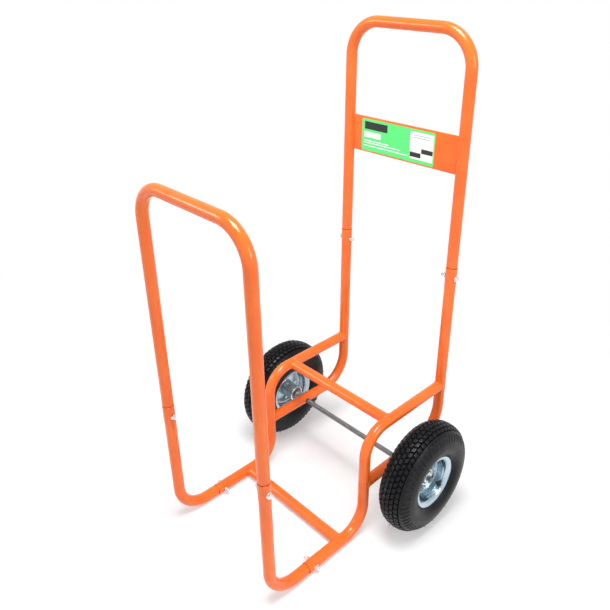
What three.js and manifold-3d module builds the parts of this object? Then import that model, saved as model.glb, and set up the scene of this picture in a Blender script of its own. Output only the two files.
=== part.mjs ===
// Fireside log cart: a two-wheeled trolley of bent steel tube that carries split logs to the hearth.
// Millimetres, +Z up. The handle is at +Y and the short front hoop at -Y, and left and right are as
// the person at the handle sees them, so left is +X. The origin is on the floor, at the middle of
// the cart's length and width.
import * as THREE from "three";
import { mergeVertices } from "three/addons/utils/BufferGeometryUtils.js";
import Module from "manifold-3d";

const wasm = await Module();
wasm.setup();

// ---- Driving dimensions ----

// Clearance left between two pieces that touch, are welded or run in each other
const fit = 0.3;
// How far two solids reach into each other where they are joined, and a cutter past what it cuts
const overlap = 1;

// Tube stock, shared by the whole frame
const tubeDiameter = 25;
const tubeWall = 1.5;
const spigotLength = 45; // swaged end that slides into the next tube
const swageNeck = 4; // length over which the tube narrows to the spigot

// Frame
const frameWidth = 314; // between the tube axes of the two sides
const wheelbaseLegs = 545; // front leg to upright at the floor, between axes
const footBendRadius = 74;
const footRun = 100; // from the front leg's axis back to the seam in the floor tube
const hoopHeight = 840; // over the top bar
const hoopSeamHeight = 324;
const hoopLean = 22.8; // how far the hoop's top bar stands ahead of the foot
const hoopCornerRadius = 70;
const handleHeight = 1085; // over the top bar
const handleSeamHeight = 574;
const handleCornerRadius = 75;
const shelfHeight = 274.5; // top of the shelf rails
const stepSetback = 267.5; // from the upright's axis forward to the step
const stepBendRadius = 60;
const uprightBendRadius = 78;
const crossTubeInset = 15; // from the step's bends to the cross tubes ahead of and behind it

// Plate between the handle's legs
const plateHeight = 82;
const plateThickness = 2.5;
const plateTopHeight = 866;

// Joint bolts, M6
const boltDiameter = 6;
const boltFlangeDiameter = 13;
const boltFlangeThickness = 1.2;
const hexAcrossFlats = 10;
const boltHeadHeight = 4.8;
const nutHeight = 5.5;
const boltTail = 6; // thread that shows past the nut
const boltBelowSeam = 24;
const footBoltBehindSeam = 18;

// Axle
const axleDiameter = 12;
const axleSetback = 150; // from the upright's axis forward to the axle
const spacerDiameter = 19;
const spacerLength = 15.9; // from the upright's tube to the hub
const washerDiameter = 26;
const washerThickness = 2.5;
const pinDiameter = 3;
const pinEyeDiameter = 9; // at the middle of its wire
const pinTail = 12; // how far the pin reaches past the axle's centre
const axleEndMargin = 5; // from the pin to the axle's end

// Wheel
const tyreDiameter = 260;
const tyreWidth = 84;
const tyreCrownHeight = 47; // from the widest point of the section out to the tread
const tyreWall = 5;
const treadThickness = 10;
const tyreRoundness = 2.3; // exponent of the superellipse that the section follows
const beadWidth = 9;
const beadThickness = 8;
const innerTubeWall = 1.6;
const beadSeatDiameter = 101.6; // 4 inch rim
const rimSheet = 1.5;
const rimHalfWidth = 32;
const rimFlangeHeight = 11.2; // from the bead seat out to the flange's edge
const rimFlareRadius = 10;
const rimDishRadius = 6;
const rimBoltInset = 15.75; // from the middle of the barrel's sheet to the rim bolts
const rimBoltTail = 2.5;
const hubDiameter = 40;
const hubLength = 57;
const hubOutboard = 11; // from the wheel's middle plane to the hub's outer end
const bearingDiameter = 32;
const bearingWidth = 10;
const valveDiameter = 7;
const valveBore = 2.6;
const valveBendRadius = 7;
const valveCapClearance = 3.75; // from the rim's barrel to the cap
const valveReach = 29; // from the middle plane to the valve's tip
const valveAngle = -Math.PI / 4; // measured from +Y towards +Z
const capDiameter = 10.5;
const capLength = 11;
const capWall = 1.6;

// Facets
const tubeSides = 12;
const boreSides = 8;
const bendStep = Math.PI / 12; // turn of a tube's bend for each ring of facets
const boltSides = 8;
const roundSides = 12;
const wheelSegments = 24;
const flareSteps = 2;
const outerCrownSteps = 4;
const innerCrownSteps = 3;

// ---- Worked out from the driving dimensions ----

const tubeRadius = tubeDiameter / 2;
const tubeBoreRadius = tubeRadius - tubeWall;
const spigotRadius = tubeBoreRadius - fit;
const side = frameWidth / 2; // X of the left side's tube axes
const uprightY = wheelbaseLegs / 2;
const legY = -wheelbaseLegs / 2; // front leg's axis at the floor tubes
const floorZ = tubeRadius; // axis of the tubes that lie on the floor
const hoopTopZ = hoopHeight - tubeRadius;
const handleTopZ = handleHeight - tubeRadius;
const shelfZ = shelfHeight - tubeRadius;
const stepY = uprightY - stepSetback;
const footSeamY = legY + footRun;
const axleRadius = axleDiameter / 2;
const axleY = uprightY - axleSetback;
const tyreRadius = tyreDiameter / 2;
const axleZ = tyreRadius; // the tyres stand on the floor
const hubInnerX = side + tubeRadius + fit + spacerLength + fit;
const hubOuterX = hubInnerX + hubLength;
const wheelX = hubOuterX - hubOutboard; // middle plane of the left wheel
const pinX = hubOuterX + fit + washerThickness + fit + pinDiameter / 2;
const axleEndX = pinX + pinDiameter / 2 + axleEndMargin;
const middleY = (legY - hoopLean + uprightY) / 2; // middle of the cart's length

// Y of the leaning front leg's axis at a height.
const frontLegY = (z) => legY - (hoopLean * (z - floorZ)) / (hoopTopZ - floorZ);

// Radius at the corners of a faceted bore whose flats clear a round piece by the fit.
const clearRadius = (radius, sides) => (radius + fit) / Math.cos(Math.PI / sides);

// ---- Geometry and solids ----

const at = (x, y, z) => new THREE.Vector3(x, y, z);
const flat = (x, y) => new THREE.Vector2(x, y);

// The centre line of a bent tube: straight stretches between corners, each corner an arc. It has one
// station at each end of a straight stretch and one for each step of a bend, and steps from station
// to station, so a straight stretch costs one ring of facets however long it is.
class BentPath extends THREE.Curve {
  constructor(corners, bendRadius = 0) {
    super();
    const first = corners[1].clone().sub(corners[0]).normalize();
    this.stations = [{ point: corners[0], tangent: first }];
    for (let i = 1; i < corners.length - 1; i++) this.addBend(corners.slice(i - 1, i + 2), bendRadius);
    const [before, last] = corners.slice(-2);
    this.stations.push({ point: last, tangent: last.clone().sub(before).normalize() });
  }

  addBend([before, corner, after], radius) {
    const inward = corner.clone().sub(before).normalize();
    const outward = after.clone().sub(corner).normalize();
    const turn = inward.angleTo(outward);
    const steps = Math.ceil(turn / bendStep - 1e-6);
    const start = corner.clone().addScaledVector(inward, -radius * Math.tan(turn / 2));
    const toCentre = outward.clone().addScaledVector(inward, -Math.cos(turn)).normalize();
    const centre = start.clone().addScaledVector(toCentre, radius);
    for (let i = 0; i <= steps; i++) {
      const angle = (turn * i) / steps;
      const point = centre.clone().addScaledVector(toCentre, -radius * Math.cos(angle));
      point.addScaledVector(inward, radius * Math.sin(angle));
      const tangent = inward.clone().multiplyScalar(Math.cos(angle));
      tangent.addScaledVector(toCentre, Math.sin(angle));
      this.stations.push({ point, tangent });
    }
  }

  get steps() {
    return this.stations.length - 1;
  }

  getUtoTmapping(u) {
    return u;
  }

  stationAt(t) {
    return this.stations[Math.round(t * this.steps)];
  }

  getPoint(t, target = new THREE.Vector3()) {
    return target.copy(this.stationAt(t).point);
  }

  getTangent(t, target = new THREE.Vector3()) {
    return target.copy(this.stationAt(t).tangent);
  }
}

// Corners of a regular polygon about the origin.
function polygon(radius, sides, turn = 0) {
  return Array.from({ length: sides }, (_, i) => {
    const angle = turn + (2 * Math.PI * i) / sides;
    return flat(radius * Math.cos(angle), radius * Math.sin(angle));
  });
}

// A closed geometry as a solid that can be joined and cut.
function solidOf(geometry) {
  geometry.deleteAttribute("normal");
  geometry.deleteAttribute("uv");
  const merged = mergeVertices(geometry, 1e-4);
  const vertProperties = merged.attributes.position.array;
  const triVerts = new Uint32Array(merged.index.array);
  return new wasm.Manifold(new wasm.Mesh({ numProp: 3, vertProperties, triVerts }));
}

// A solid's surface as a geometry, with a flat normal for each facet.
function geometryOf(solid) {
  const mesh = solid.getMesh();
  const indexed = new THREE.BufferGeometry();
  indexed.setAttribute("position", new THREE.BufferAttribute(mesh.vertProperties, 3));
  indexed.setIndex(new THREE.BufferAttribute(mesh.triVerts, 1));
  const geometry = indexed.toNonIndexed();
  geometry.computeVertexNormals();
  return geometry;
}

// A round tube along a path, or a solid rod where there is no bore.
function sweep(path, radius, boreRadius = 0) {
  const section = new THREE.Shape(polygon(radius, boreRadius ? tubeSides : boreSides));
  if (boreRadius) section.holes.push(new THREE.Path(polygon(boreRadius, boreSides)));
  return solidOf(new THREE.ExtrudeGeometry(section, { extrudePath: path, steps: path.steps }));
}

// A straight rod from one point to another.
function rod(from, to, radius, sides) {
  const section = new THREE.Shape(polygon(radius, sides));
  return solidOf(
    new THREE.ExtrudeGeometry(section, { extrudePath: new BentPath([from, to]), steps: 1 }),
  );
}

// A straight rod along X, centred on a point.
function crossRod(centre, length, radius, sides) {
  const half = at(length / 2, 0, 0);
  return rod(centre.clone().sub(half), centre.clone().add(half), radius, sides);
}

// A closed outline of points (distance along X, distance from the axis) turned about the X axis.
function turned(outline, segments) {
  const profile = outline.map(([x, radius]) => flat(radius, x));
  if (THREE.ShapeUtils.area(profile) < 0) profile.reverse();
  profile.push(profile[0].clone());
  return solidOf(new THREE.LatheGeometry(profile, segments).rotateZ(-Math.PI / 2));
}

// A ring about the X axis with a square section.
function ring(fromX, toX, innerRadius, outerRadius, segments = roundSides) {
  const outline = [
    [fromX, innerRadius],
    [toX, innerRadius],
    [toX, outerRadius],
    [fromX, outerRadius],
  ];
  return turned(outline, segments);
}

// A hexagonal prism along X with its flats to the given width.
function hexPrism(fromX, toX, acrossFlats) {
  const radius = acrossFlats / 2 / Math.cos(Math.PI / 6);
  return rod(at(fromX, 0, 0), at(toX, 0, 0), radius, 6);
}

// The line that runs beside a line of points at a distance, to the left of its direction.
function beside(points, distance) {
  return points.map(([x, y], i) => {
    const [ax, ay] = points[Math.max(i - 1, 0)];
    const [bx, by] = points[Math.min(i + 1, points.length - 1)];
    const before = flat(x - ax, y - ay).normalize();
    const after = flat(bx - x, by - y).normalize();
    if (i === 0) before.copy(after);
    if (i === points.length - 1) after.copy(before);
    const along = before.clone().add(after).normalize();
    const reach = distance / Math.max(along.dot(before), 0.5);
    return [x - along.y * reach, y + along.x * reach];
  });
}

const mirrored = (points) => points.map(([x, y]) => [-x, y]).reverse();

// ---- Materials ----

const finish = (color, roughness, metalness) =>
  new THREE.MeshStandardMaterial({ color, roughness, metalness });
const orangePaint = finish(0xf47a30, 0.3, 0.1);
const zincPlate = finish(0xb9c6cf, 0.32, 1);
const darkSteel = finish(0x6f7274, 0.45, 1);
const rubber = finish(0x26262b, 0.85, 0);
const butylRubber = finish(0x1a1a1c, 0.7, 0);
const blackPlastic = finish(0x101012, 0.5, 0);

const cart = new THREE.Group();
cart.position.set(0, -middleY, 0);

function addPiece(name, solid, material, parent = cart) {
  const mesh = new THREE.Mesh(geometryOf(solid), material);
  mesh.name = name;
  parent.add(mesh);
  return mesh;
}

// ---- Frame tubes ----

// A swaged end: a spigot that leaves the tube's end at `seam` and points along `direction`.
function withSpigot(tube, seam, direction) {
  const along = (distance) => seam.clone().addScaledVector(direction, distance);
  const neckRadius = (tubeRadius + tubeBoreRadius) / 2;
  const hollowRadius = spigotRadius - tubeWall;
  const spigot = rod(along(spigotLength), along(overlap - swageNeck), spigotRadius, boreSides);
  const neck = rod(along(-overlap / 2), along(-swageNeck), neckRadius, boreSides);
  const [tip, root] = [along(spigotLength + overlap), along(-swageNeck - overlap)];
  return tube.add(spigot).add(neck).subtract(rod(tip, root, hollowRadius, boreSides));
}

// Drills a bolt hole along X through both walls of a tube.
function drilled(tube, centre, radius = boltDiameter / 2, sides = boltSides) {
  return tube.subtract(crossRod(centre, 2 * tubeDiameter, clearRadius(radius, sides), sides));
}

// Cuts a tube's end to the saddle shape that is welded against another tube.
function coped(tube, from, to) {
  return tube.subtract(rod(from, to, tubeRadius + fit, tubeSides));
}

// The places of the joints and their bolts on one side; `s` is 1 on the left and -1 on the right.
const handleSeam = (s) => at(s * side, uprightY, handleSeamHeight);
const handleBolt = (s) => at(s * side, uprightY, handleSeamHeight - boltBelowSeam);
const hoopSeam = (s) => at(s * side, frontLegY(hoopSeamHeight), hoopSeamHeight);
const hoopBolt = (s) => {
  const z = hoopSeamHeight - boltBelowSeam;
  return at(s * side, frontLegY(z), z);
};
const footSeam = (s) => at(s * side, footSeamY, floorZ);
const footBolt = (s) => at(s * side, footSeamY + footBoltBehindSeam, floorZ);

const down = at(0, 0, -1);
const backward = at(0, 1, 0);
const legDown = at(0, legY, floorZ).sub(at(0, frontLegY(hoopTopZ), hoopTopZ)).normalize();

// A U of tube that plugs into the tubes below it at both ends.
function pluggedHoop(seamOn, topY, topZ, cornerRadius, direction, boltOn) {
  const corners = [seamOn(1), at(side, topY, topZ), at(-side, topY, topZ), seamOn(-1)];
  let hoop = sweep(new BentPath(corners, cornerRadius), tubeRadius, tubeBoreRadius);
  for (const s of [1, -1]) {
    hoop = withSpigot(hoop, seamOn(s), direction);
    hoop = drilled(hoop, boltOn(s));
  }
  return hoop;
}

function handlePlate() {
  const width = 2 * (side - tubeRadius - fit);
  const box = new THREE.BoxGeometry(width, plateThickness, plateHeight);
  return solidOf(box.translate(0, uprightY, plateTopHeight - plateHeight / 2));
}

// Socket at the top, bend at axle height, then forward past the axle to the step.
function upright(s) {
  const x = s * side;
  const top = handleSeam(s).addScaledVector(down, fit);
  const path = new BentPath([top, at(x, uprightY, axleZ), at(x, stepY, axleZ)], uprightBendRadius);
  let tube = sweep(path, tubeRadius, tubeBoreRadius);
  tube = coped(tube, at(x, stepY, axleZ - tubeDiameter), at(x, stepY, axleZ + tubeDiameter));
  tube = drilled(tube, handleBolt(s));
  return drilled(tube, at(x, axleY, axleZ), axleRadius, roundSides);
}

// Along the floor, up the step, then back as a shelf rail to the upright.
function bedTube(s) {
  const x = s * side;
  const corners = [
    footSeam(s).addScaledVector(backward, fit),
    at(x, stepY, floorZ),
    at(x, stepY, shelfZ),
    at(x, uprightY, shelfZ),
  ];
  let tube = sweep(new BentPath(corners, stepBendRadius), tubeRadius, tubeBoreRadius);
  tube = coped(tube, at(x, uprightY, shelfZ - tubeDiameter), at(x, uprightY, shelfZ + tubeDiameter));
  return drilled(tube, footBolt(s));
}

// A straight tube welded between the two sides where they run level, along Y.
function crossTube(y, z) {
  let tube = sweep(new BentPath([at(-side, y, z), at(side, y, z)]), tubeRadius, tubeBoreRadius);
  for (const s of [1, -1]) {
    tube = coped(tube, at(s * side, y - tubeDiameter, z), at(s * side, y + tubeDiameter, z));
  }
  return tube;
}

// Front leg from the hoop's seam down to the floor and back to the bed tube.
function foot(s) {
  const x = s * side;
  const top = hoopSeam(s).addScaledVector(legDown, fit);
  const path = new BentPath([top, at(x, legY, floorZ), footSeam(s)], footBendRadius);
  const tube = withSpigot(sweep(path, tubeRadius, tubeBoreRadius), footSeam(s), backward);
  return drilled(drilled(tube, hoopBolt(s)), footBolt(s));
}

// ---- Joint bolts ----

// A flanged hex bolt along X, with its head outside the tube and its origin on the tube's axis.
function jointBolt() {
  const seat = tubeRadius + fit;
  const tail = -(seat + nutHeight + boltTail);
  const shank = rod(at(tail, 0, 0), at(seat + overlap, 0, 0), boltDiameter / 2, boltSides);
  const flange = ring(seat, seat + boltFlangeThickness, 0, boltFlangeDiameter / 2, boltSides);
  const headStart = seat + boltFlangeThickness / 2;
  const head = hexPrism(headStart, headStart + boltHeadHeight, hexAcrossFlats);
  return shank.add(flange).add(head);
}

function jointNut() {
  const seat = tubeRadius + fit;
  const bore = clearRadius(boltDiameter / 2, boltSides);
  const [from, to] = [-seat - nutHeight - overlap, -seat + overlap];
  const hole = rod(at(from, 0, 0), at(to, 0, 0), bore, boltSides);
  return hexPrism(-seat - nutHeight, -seat, hexAcrossFlats).subtract(hole);
}

// ---- Axle ----

function axle() {
  let bar = crossRod(at(0, 0, 0), 2 * axleEndX, axleRadius, roundSides);
  for (const s of [1, -1]) {
    const hole = clearRadius(pinDiameter / 2, boltSides);
    const [bottom, top] = [at(s * pinX, 0, -axleDiameter), at(s * pinX, 0, axleDiameter)];
    bar = bar.subtract(rod(bottom, top, hole, boltSides));
  }
  return bar;
}

// A sleeve or washer on the axle, between two distances from the middle of the cart.
function onAxle(fromX, toX, diameter) {
  return ring(fromX, toX, clearRadius(axleRadius, roundSides), diameter / 2);
}

// A pin through the axle's end with a round eye above the axle.
function splitPin() {
  const wire = pinDiameter / 2;
  const eyeRadius = pinEyeDiameter / 2;
  const eyeZ = axleRadius + fit + wire + eyeRadius;
  const leg = rod(at(0, 0, -pinTail), at(0, 0, eyeZ - eyeRadius), wire, boltSides);
  const eye = new THREE.TorusGeometry(eyeRadius, wire, 6, 10).rotateY(Math.PI / 2);
  return leg.add(solidOf(eye.translate(0, 0, eyeZ)));
}

// ---- Wheel, about the X axis with its outer side towards +X ----

const beadSeatRadius = beadSeatDiameter / 2;
const rimFlangeRadius = beadSeatRadius + rimFlangeHeight;
const hubRadius = hubDiameter / 2;
const barrelRadius = beadSeatRadius - fit - rimSheet / 2; // middle of the rim's sheet
const rimBoltRadius = barrelRadius - rimBoltInset;
const widestRadius = tyreRadius - tyreCrownHeight;
const flareX = rimHalfWidth - rimSheet / 2 - rimFlareRadius; // where the barrel turns outwards
const beadToeX = flareX - beadWidth;
const valveX = beadToeX - fit - valveDiameter / 2; // where the valve leaves the rim, between the beads
const valveStemRadius = barrelRadius - rimSheet / 2 - valveCapClearance - capDiameter / 2;

// Points on an arc, from and to the given angles.
function arc(centreX, centreY, radius, from, to, steps) {
  return Array.from({ length: steps + 1 }, (_, i) => {
    const angle = from + ((to - from) * i) / steps;
    return [centreX + radius * Math.cos(angle), centreY + radius * Math.sin(angle)];
  });
}

// Middle of the sheet of one rim half: disc, dish, barrel, then the flare out to the flange.
function rimLine() {
  const discX = (fit + rimSheet) / 2;
  const hubHole = clearRadius(hubRadius, wheelSegments);
  const dishX = discX + rimDishRadius;
  return [
    [discX, hubHole],
    ...arc(dishX, barrelRadius - rimDishRadius, rimDishRadius, Math.PI, Math.PI / 2, 1),
    ...arc(flareX, barrelRadius + rimFlareRadius, rimFlareRadius, -Math.PI / 2, 0, flareSteps),
    [flareX + rimFlareRadius, rimFlangeRadius],
  ];
}

function rimHalf(outer) {
  const line = rimLine();
  const outline = [...beside(line, rimSheet / 2), ...beside(line, -rimSheet / 2).reverse()];
  const half = turned(outer ? outline : mirrored(outline), wheelSegments);
  const drill = clearRadius(boltDiameter / 2, boltSides);
  const bolted = rimBoltCentres().reduce(
    (solid, centre) => solid.subtract(crossRod(centre, 4 * rimSheet, drill, boltSides)),
    half,
  );
  return outer ? bolted.subtract(valveHole()) : bolted;
}

function rimBoltCentres() {
  return polygon(rimBoltRadius, 4).map(({ x, y }) => at(0, x, y));
}

// The valve leaves the inner tube towards the axle and bends to face outwards, beside the barrel.
function valvePath(fromRadius, toX) {
  const turn = (x, radius) =>
    at(x, radius * Math.cos(valveAngle), radius * Math.sin(valveAngle));
  const corners = [
    turn(valveX, fromRadius),
    turn(valveX, valveStemRadius),
    turn(toX, valveStemRadius),
  ];
  return new BentPath(corners, valveBendRadius);
}

// The room that the rim leaves round the valve.
function valveHole() {
  const path = valvePath(beadSeatRadius + rimSheet, valveReach);
  return sweep(path, clearRadius(valveDiameter / 2, boreSides));
}

// A quarter of the tyre's section, from its widest point to the crown, with a wall taken off.
function crownLine(sideWall, crownWall, steps) {
  const power = 2 / tyreRoundness;
  return Array.from({ length: steps + 1 }, (_, i) => {
    const angle = ((Math.PI / 2) * i) / steps;
    const across = (tyreWidth / 2 - sideWall) * Math.max(Math.cos(angle), 0) ** power;
    const outward = (tyreCrownHeight - crownWall) * Math.sin(angle) ** power;
    return [i === steps ? 0 : across, widestRadius + outward];
  });
}

// The sidewall from the bead's top to just short of the widest point.
function sidewallLine(beadX, beadRadius, sideWall, steps) {
  const widestX = tyreWidth / 2 - sideWall;
  const curve = new THREE.QuadraticBezierCurve(
    flat(beadX, beadRadius),
    flat(widestX, (beadRadius + widestRadius) / 2),
    flat(widestX, widestRadius),
  );
  return curve.getPoints(steps).slice(0, -1).map(({ x, y }) => [x, y]);
}

// Half of the tyre's outer line, from the bead's heel over the rim flange to the crown.
function tyreOuterLine() {
  const seatArc = rimFlareRadius - rimSheet / 2 - fit;
  return [
    ...arc(flareX, barrelRadius + rimFlareRadius, seatArc, -Math.PI / 2, 0, flareSteps),
    ...sidewallLine(flareX + seatArc, rimFlangeRadius, 0, 2),
    ...crownLine(0, 0, outerCrownSteps),
  ];
}

// Half of the tyre's hollow, from the bead's toe to the crown.
function tyreInnerLine() {
  const topX = rimHalfWidth - rimSheet - fit - beadThickness;
  return [
    [beadToeX, beadSeatRadius],
    ...sidewallLine(topX, rimFlangeRadius, tyreWall, 1),
    ...crownLine(tyreWall, treadThickness, innerCrownSteps),
  ];
}

// Both halves of a line that ends on the crown, from the right bead over the crown to the left.
const overCrown = (half) => [...half, ...mirrored(half).slice(1)];

function tyre() {
  const outline = [...overCrown(tyreOuterLine()), ...overCrown(tyreInnerLine()).reverse()];
  return turned(outline, wheelSegments);
}

// A thin hollow ring that lies against the tyre from inside, with the valve growing out of it.
function innerTube() {
  const against = overCrown(tyreInnerLine().slice(1));
  const skin = beside(against, fit);
  const hollowLine = beside(skin, innerTubeWall);
  const hollow = turned(hollowLine, wheelSegments);
  const rootRadius = skin[0][1] + innerTubeWall / 2;
  const stem = sweep(valvePath(rootRadius, valveReach), valveDiameter / 2);
  const borePath = valvePath(rootRadius + 2 * innerTubeWall, valveReach + overlap);
  const bore = sweep(borePath, valveBore / 2);
  return turned(skin, wheelSegments).subtract(hollow).add(stem).subtract(bore);
}

// A cup over the valve's tip, open towards the wheel.
function valveCap() {
  const bore = clearRadius(valveDiameter / 2, boreSides);
  const endX = valveReach + fit + capWall;
  const outline = [
    [endX, 0],
    [endX, capDiameter / 2],
    [endX - capLength, capDiameter / 2],
    [endX - capLength, bore],
    [valveReach + fit, bore],
    [valveReach + fit, 0],
  ];
  const profile = outline.map(([x, radius]) => flat(radius, x));
  if (THREE.ShapeUtils.area(profile) < 0) profile.reverse();
  const cup = new THREE.LatheGeometry(profile, boreSides).rotateZ(-Math.PI / 2);
  const [y, z] = [Math.cos(valveAngle), Math.sin(valveAngle)].map((v) => v * valveStemRadius);
  return solidOf(cup.translate(0, y, z));
}

function hub() {
  const bore = clearRadius(bearingDiameter / 2, roundSides);
  return ring(hubOutboard - hubLength, hubOutboard, bore, hubRadius);
}

function bearing(fromX) {
  return onAxle(fromX, fromX + bearingWidth, bearingDiameter);
}

// A bolt through both rim halves with its nut run on, head on the inner side.
function rimBolt() {
  const seat = fit / 2 + rimSheet + fit;
  const tail = seat + nutHeight + rimBoltTail;
  const shank = rod(at(-seat - overlap, 0, 0), at(tail, 0, 0), boltDiameter / 2, boltSides);
  const head = hexPrism(-seat - boltHeadHeight, -seat, hexAcrossFlats);
  return shank.add(head).add(hexPrism(seat, seat + nutHeight, hexAcrossFlats));
}

function addWheel(s, hand) {
  const wheel = new THREE.Group();
  wheel.position.set(s * wheelX, axleY, axleZ);
  wheel.rotation.z = s > 0 ? 0 : Math.PI;
  cart.add(wheel);
  addPiece(`tyre_${hand}`, tyre(), rubber, wheel);
  addPiece(`inner_tube_${hand}`, innerTube(), butylRubber, wheel);
  addPiece(`valve_cap_${hand}`, valveCap(), blackPlastic, wheel);
  addPiece(`rim_outer_${hand}`, rimHalf(true), zincPlate, wheel);
  addPiece(`rim_inner_${hand}`, rimHalf(false), zincPlate, wheel);
  addPiece(`hub_${hand}`, hub(), zincPlate, wheel);
  addPiece(`bearing_outer_${hand}`, bearing(hubOutboard - bearingWidth), darkSteel, wheel);
  addPiece(`bearing_inner_${hand}`, bearing(hubOutboard - hubLength), darkSteel, wheel);
  rimBoltCentres().forEach((centre, i) => {
    const bolt = addPiece(`rim_bolt_${hand}_${i + 1}`, rimBolt(), zincPlate, wheel);
    bolt.position.copy(centre);
  });
}

// ---- Assembly ----

const hands = [
  [1, "left"],
  [-1, "right"],
];

const handle = pluggedHoop(handleSeam, uprightY, handleTopZ, handleCornerRadius, down, handleBolt);
const hoop = pluggedHoop(hoopSeam, frontLegY(hoopTopZ), hoopTopZ, hoopCornerRadius, legDown, hoopBolt);
addPiece("handle_loop", handle, orangePaint);
addPiece("handle_plate", handlePlate(), orangePaint);
addPiece("front_hoop", hoop, orangePaint);
const crossSetback = stepBendRadius + crossTubeInset;
addPiece("floor_cross_tube", crossTube(stepY - crossSetback, floorZ), orangePaint);
addPiece("shelf_cross_tube", crossTube(stepY + crossSetback, shelfZ), orangePaint);
const axleBar = addPiece("axle", axle(), darkSteel);
axleBar.position.set(0, axleY, axleZ);

for (const [s, hand] of hands) {
  addPiece(`upright_${hand}`, upright(s), orangePaint);
  addPiece(`bed_tube_${hand}`, bedTube(s), orangePaint);
  addPiece(`foot_${hand}`, foot(s), orangePaint);

  const joints = { handle: handleBolt(s), hoop: hoopBolt(s), foot: footBolt(s) };
  for (const [joint, place] of Object.entries(joints)) {
    const pair = new THREE.Group();
    pair.position.copy(place);
    pair.rotation.z = s > 0 ? 0 : Math.PI;
    cart.add(pair);
    addPiece(`${joint}_bolt_${hand}`, jointBolt(), zincPlate, pair);
    addPiece(`${joint}_nut_${hand}`, jointNut(), zincPlate, pair);
  }

  const onSide = new THREE.Group();
  onSide.position.set(0, axleY, axleZ);
  onSide.rotation.z = s > 0 ? 0 : Math.PI;
  cart.add(onSide);
  const spacer = onAxle(hubInnerX - fit - spacerLength, hubInnerX - fit, spacerDiameter);
  addPiece(`axle_spacer_${hand}`, spacer, zincPlate, onSide);
  const washer = onAxle(hubOuterX + fit, hubOuterX + fit + washerThickness, washerDiameter);
  addPiece(`axle_washer_${hand}`, washer, zincPlate, onSide);
  const pin = addPiece(`split_pin_${hand}`, splitPin(), zincPlate, onSide);
  pin.position.x = pinX;

  addWheel(s, hand);
}

export default cart;
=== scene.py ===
# %% [markdown]
# # A log cart, piece by piece
# The cart is bent steel tube under an orange powder coat, with zinc-plated bolts and two pneumatic
# wheels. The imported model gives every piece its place. This lesson makes each piece again with
# round tubes, cut threads, weld beads, stamped rims and a block tread, and gives it a procedural
# finish. Lengths are in millimetres while a shape is worked out, and in metres once it is a mesh.

import bpy
import numpy as np
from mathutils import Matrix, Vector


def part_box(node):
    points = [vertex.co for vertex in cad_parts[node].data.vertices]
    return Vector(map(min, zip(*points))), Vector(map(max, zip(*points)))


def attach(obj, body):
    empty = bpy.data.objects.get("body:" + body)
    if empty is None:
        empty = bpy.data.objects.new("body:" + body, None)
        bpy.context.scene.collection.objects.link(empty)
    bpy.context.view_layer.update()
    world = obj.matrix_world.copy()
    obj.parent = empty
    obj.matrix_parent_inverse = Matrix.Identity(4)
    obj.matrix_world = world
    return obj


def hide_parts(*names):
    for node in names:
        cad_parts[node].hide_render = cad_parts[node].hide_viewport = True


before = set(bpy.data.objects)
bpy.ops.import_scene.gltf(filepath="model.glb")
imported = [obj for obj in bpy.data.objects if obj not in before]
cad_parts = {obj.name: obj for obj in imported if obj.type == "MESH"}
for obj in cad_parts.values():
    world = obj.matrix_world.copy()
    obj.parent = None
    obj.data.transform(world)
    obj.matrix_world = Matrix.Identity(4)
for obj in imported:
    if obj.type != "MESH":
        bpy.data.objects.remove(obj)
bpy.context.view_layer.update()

# %% [markdown]
# ## Camera
# The camera stands where the photographer's stood, ahead of the cart and to its left, a little
# higher than the handle. Its place and lens come from lining up the frame's straight tubes with the
# picture. The lens axis lies above the picture's middle, so the lens is shifted down a little
# instead of tilting the camera further, which keeps the upright tubes as steep as they are.

# %% Camera
view_width = 610  # pixels
focal_pixels = 660.14
camera_data = bpy.data.cameras.new("camera")
camera_data.sensor_width = 36
camera_data.lens = 36 * focal_pixels / view_width
camera_data.shift_y = -55 / view_width
camera_data.clip_end = 100
camera = bpy.data.objects.new("camera", camera_data)
camera.location = (0.8764, -0.8575, 1.2067)
camera.rotation_euler = np.radians([65.73, 0, 46.09])
bpy.context.collection.objects.link(camera)
bpy.context.scene.camera = camera
bpy.context.scene.view_settings.view_transform = "Standard"
print("lens:", round(camera_data.lens, 2), "mm")

# %% [markdown]
# ## Colours and nodes
# A colour is written as the hex value that a paint chart or a picture editor shows, which is sRGB.
# Blender works with linear light, so one function turns one into the other. One small function adds
# a node, sets it, and fills its inputs, which keeps each material short enough to read.

# %% Colours and nodes


def linear(hex_colour):
    """sRGB hex to linear light: c / 12.92 up to 0.04045, and ((c + 0.055) / 1.055) ** 2.4 above."""
    c = np.array([int(hex_colour[i : i + 2], 16) for i in (1, 3, 5)]) / 255
    c = np.where(c <= 0.04045, c / 12.92, ((c + 0.055) / 1.055) ** 2.4)
    return (*c.tolist(), 1.0)


def add(tree, kind, inputs=None, **settings):
    """Adds a ShaderNode of a kind, sets its properties, and gives each input a value or another
    node's output. A node that is given whole stands for the first of its outputs in use."""
    new = tree.nodes.new("ShaderNode" + kind)
    for key, value in settings.items():
        setattr(new, key, value)
    for key, value in (inputs or {}).items():
        if isinstance(value, bpy.types.Node):
            value = next(socket for socket in value.outputs if socket.enabled)
        if isinstance(value, bpy.types.NodeSocket):
            tree.links.new(value, new.inputs[key])
        else:
            new.inputs[key].default_value = value
    return new


def new_material(name):
    """An empty material, its node tree, and the shaded point in the object's own metres."""
    material = bpy.data.materials.new(name)
    material.use_nodes = True
    material.node_tree.nodes.clear()
    return material, material.node_tree, add(material.node_tree, "TexCoord").outputs["Object"]


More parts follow.
